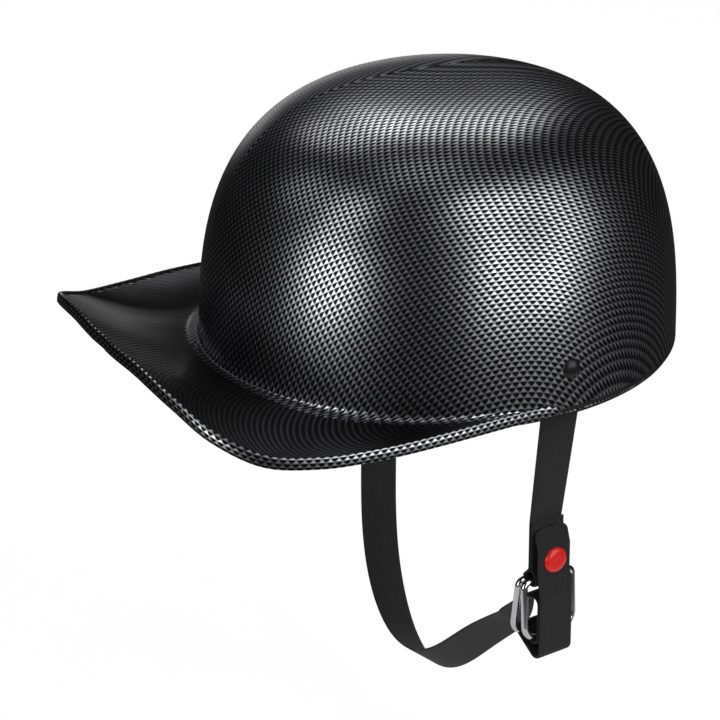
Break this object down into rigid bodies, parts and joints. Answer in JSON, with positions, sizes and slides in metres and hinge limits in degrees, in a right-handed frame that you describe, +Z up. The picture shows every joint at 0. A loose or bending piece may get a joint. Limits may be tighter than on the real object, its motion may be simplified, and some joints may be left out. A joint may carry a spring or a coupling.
{
  "type": "half shell motorcycle helmet",
  "caption": "Open half shell riding helmet with a carbon-look domed shell, a short turned-down brim, a padded liner and a riveted webbing chin strap with D-rings and a snap.",
  "frame": {"origin": "middle of the head opening, on the plane of the shell's lower rim", "axes": "+Z up towards the crown, -Y to the front where the brim is, +X to the wearer's left"},
  "size_m": [0.2724, 0.3385, 0.3772],
  "materials": {
    "shell_print": "moulded ABS shell with a black and silver carbon-look print under a satin gloss clear coat",
    "foam": "moulded black EPS foam, fine closed bead texture",
    "lining_cloth": "brushed knit polyester, black",
    "pad_cloth": "brushed knit polyester over foam, charcoal black, stitched channels",
    "welt_rubber": "black extruded rubber edge, satin",
    "rivet_black": "black semi-gloss enamel",
    "steel": "zinc-plated steel, dull",
    "webbing": "black nylon webbing, fine ribbed weave",
    "thread": "black bonded nylon thread",
    "ring_chrome": "bright chrome-plated steel wire",
    "snap_metal": "nickel-plated pressed brass",
    "cap_red": "glossy red moulded cap"
  },
  "bodies": {
    "helmet": {"outer_shell": "shell_print", "rim_welt": "welt_rubber", "eps_liner": "foam", "comfort_lining": "lining_cloth", "crown_pad": "pad_cloth", "brow_pad": "pad_cloth", "nape_pad": "pad_cloth", "temple_pad_left": "pad_cloth", "temple_pad_right": "pad_cloth", "rivet_cap_left": "rivet_black", "rivet_cap_right": "rivet_black", "rivet_left": "steel", "rivet_right": "steel", "washer_left": "steel", "washer_right": "steel"},
    "chin_strap": {"hanger_left": "steel", "hanger_right": "steel", "strap_left": "webbing", "strap_right": "webbing", "stitches_left_hanger": "thread", "stitches_right_hanger": "thread", "stitches_left_ring": "thread", "snap_stud": "snap_metal", "snap_eyelet": "snap_metal"},
    "ring_inner": {"d_ring_inner": "ring_chrome"},
    "ring_outer": {"d_ring_outer": "ring_chrome"},
    "snap_flap": {"strap_tab": "webbing", "snap_socket": "snap_metal", "snap_cap": "cap_red"}
  },
  "joints": [
    {"name": "chin_strap_swing", "type": "hinge", "parent": "helmet", "child": "chin_strap", "pos_m": [0, 0.01875, 0.0262], "axis": [1, 0, 0], "range_deg": [-14, 10]},
    {"name": "ring_inner_tilt", "type": "hinge", "parent": "chin_strap", "child": "ring_inner", "pos_m": [0.0995, 0.01575, -0.1055], "axis": [-0.2079, 0.9781, 0], "range_deg": [-0.8, 0.8]},
    {"name": "ring_outer_tilt", "type": "hinge", "parent": "chin_strap", "child": "ring_outer", "pos_m": [0.1037, 0.01665, -0.1055], "axis": [-0.2079, 0.9781, 0], "range_deg": [-0.8, 0.8]},
    {"name": "snap_flap_open", "type": "hinge", "parent": "chin_strap", "child": "snap_flap", "pos_m": [0.10691, 0.01733, -0.1523], "axis": [-0.2079, 0.9781, 0], "range_deg": [0, 150]}
  ]
}
